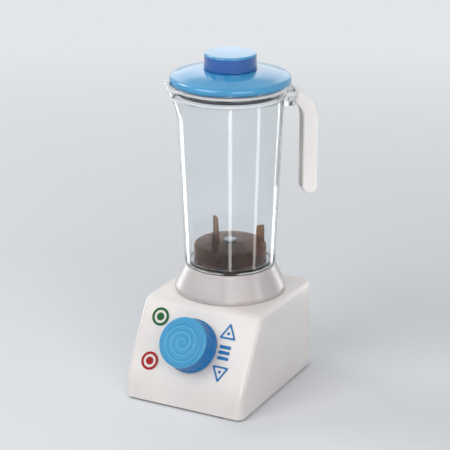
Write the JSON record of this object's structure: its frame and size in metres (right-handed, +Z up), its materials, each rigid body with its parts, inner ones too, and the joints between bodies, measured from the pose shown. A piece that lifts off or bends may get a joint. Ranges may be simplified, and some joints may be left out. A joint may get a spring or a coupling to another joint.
{
  "type": "toy blender",
  "caption": "Toy blender: sloped base with a turning knob, clear lift-off jar with a spinning smoky cup and side handle, domed lid with a round grip",
  "frame": {"origin": "centre of the base plate's flat underside, on the jar's axis", "axes": "+Z up along the jar's axis, -Y to the front where the sloped panel and knob are, +X to the right seen from the front"},
  "size_m": [0.118, 0.1527, 0.2928],
  "materials": {
    "white_shell": "warm white moulded plastic, satin gloss",
    "collar_white": "slightly greyer white moulded plastic",
    "handle_white": "warm white moulded plastic",
    "knob_blue": "blue moulded plastic with a spiral groove",
    "lid_blue": "glossy blue moulded plastic",
    "jar_clear": "clear moulded plastic with a faint blue tint",
    "cup_smoky": "smoky clear moulded plastic",
    "dark_plastic": "dark moulded plastic",
    "inner_plastic": "natural moulded plastic, unpainted",
    "steel": "plain steel",
    "feet_rubber": "dark rubber",
    "symbol_green": "green inked ring and dot on white",
    "symbol_red": "red inked ring and dot on white",
    "symbol_blue": "blue inked symbols"
  },
  "bodies": {
    "base": {"base_housing": "white_shell", "base_plate": "white_shell", "jar_collar": "collar_white", "gear_bracket": "inner_plastic", "upper_bush": "inner_plastic", "foot_1": "feet_rubber", "foot_2": "feet_rubber", "foot_3": "feet_rubber", "foot_4": "feet_rubber", "base_screw_1": "steel", "base_screw_2": "steel", "base_screw_3": "steel", "base_screw_4": "steel", "bracket_screw_1": "steel", "bracket_screw_2": "steel", "collar_screw_1": "steel", "collar_screw_2": "steel", "collar_screw_3": "steel", "go_button": "symbol_green", "stop_button": "symbol_red", "up_arrow": "symbol_blue", "down_arrow": "symbol_blue", "speed_bar_1": "symbol_blue", "speed_bar_2": "symbol_blue", "speed_bar_3": "symbol_blue", "click_spring": "steel"},
    "knob": {"knob": "knob_blue", "knob_shaft": "inner_plastic", "knob_clip": "steel", "click_wheel": "dark_plastic", "knob_bevel_gear": "dark_plastic"},
    "drive": {"driven_bevel_gear": "dark_plastic", "drive_shaft": "steel", "drive_dog": "dark_plastic"},
    "jar": {"jar": "jar_clear", "handle": "handle_white", "handle_screw": "steel", "spindle_bush": "inner_plastic"},
    "rotor": {"rotor_cup": "cup_smoky", "rotor_blades": "dark_plastic", "rotor_spindle": "steel", "jar_coupling": "dark_plastic"},
    "lid": {"lid": "lid_blue", "lid_grip": "lid_blue"}
  },
  "joints": [
    {"name": "knob_turn", "type": "hinge", "parent": "base", "child": "knob", "pos_m": [0, -0.06986, 0.05065], "axis": [0, -0.8594, 0.5114], "continuous": true},
    {"name": "drive_turn", "type": "hinge", "parent": "base", "child": "drive", "pos_m": [0, 0, 0.05], "axis": [0, 0, 1], "continuous": true},
    {"name": "jar_lift", "type": "slide", "parent": "base", "child": "jar", "axis": [0, 0, 1], "range_m": [0, 0.06]},
    {"name": "rotor_turn", "type": "hinge", "parent": "jar", "child": "rotor", "pos_m": [0, 0, 0.11], "axis": [0, 0, 1], "continuous": true},
    {"name": "lid_lift", "type": "slide", "parent": "jar", "child": "lid", "axis": [0, 0, 1], "range_m": [0, 0.04]}
  ],
  "couplings": [
    {"joint": "drive_turn", "follows": "knob_turn", "ratio": -1.5},
    {"joint": "rotor_turn", "follows": "knob_turn", "ratio": -1.5}
  ]
}
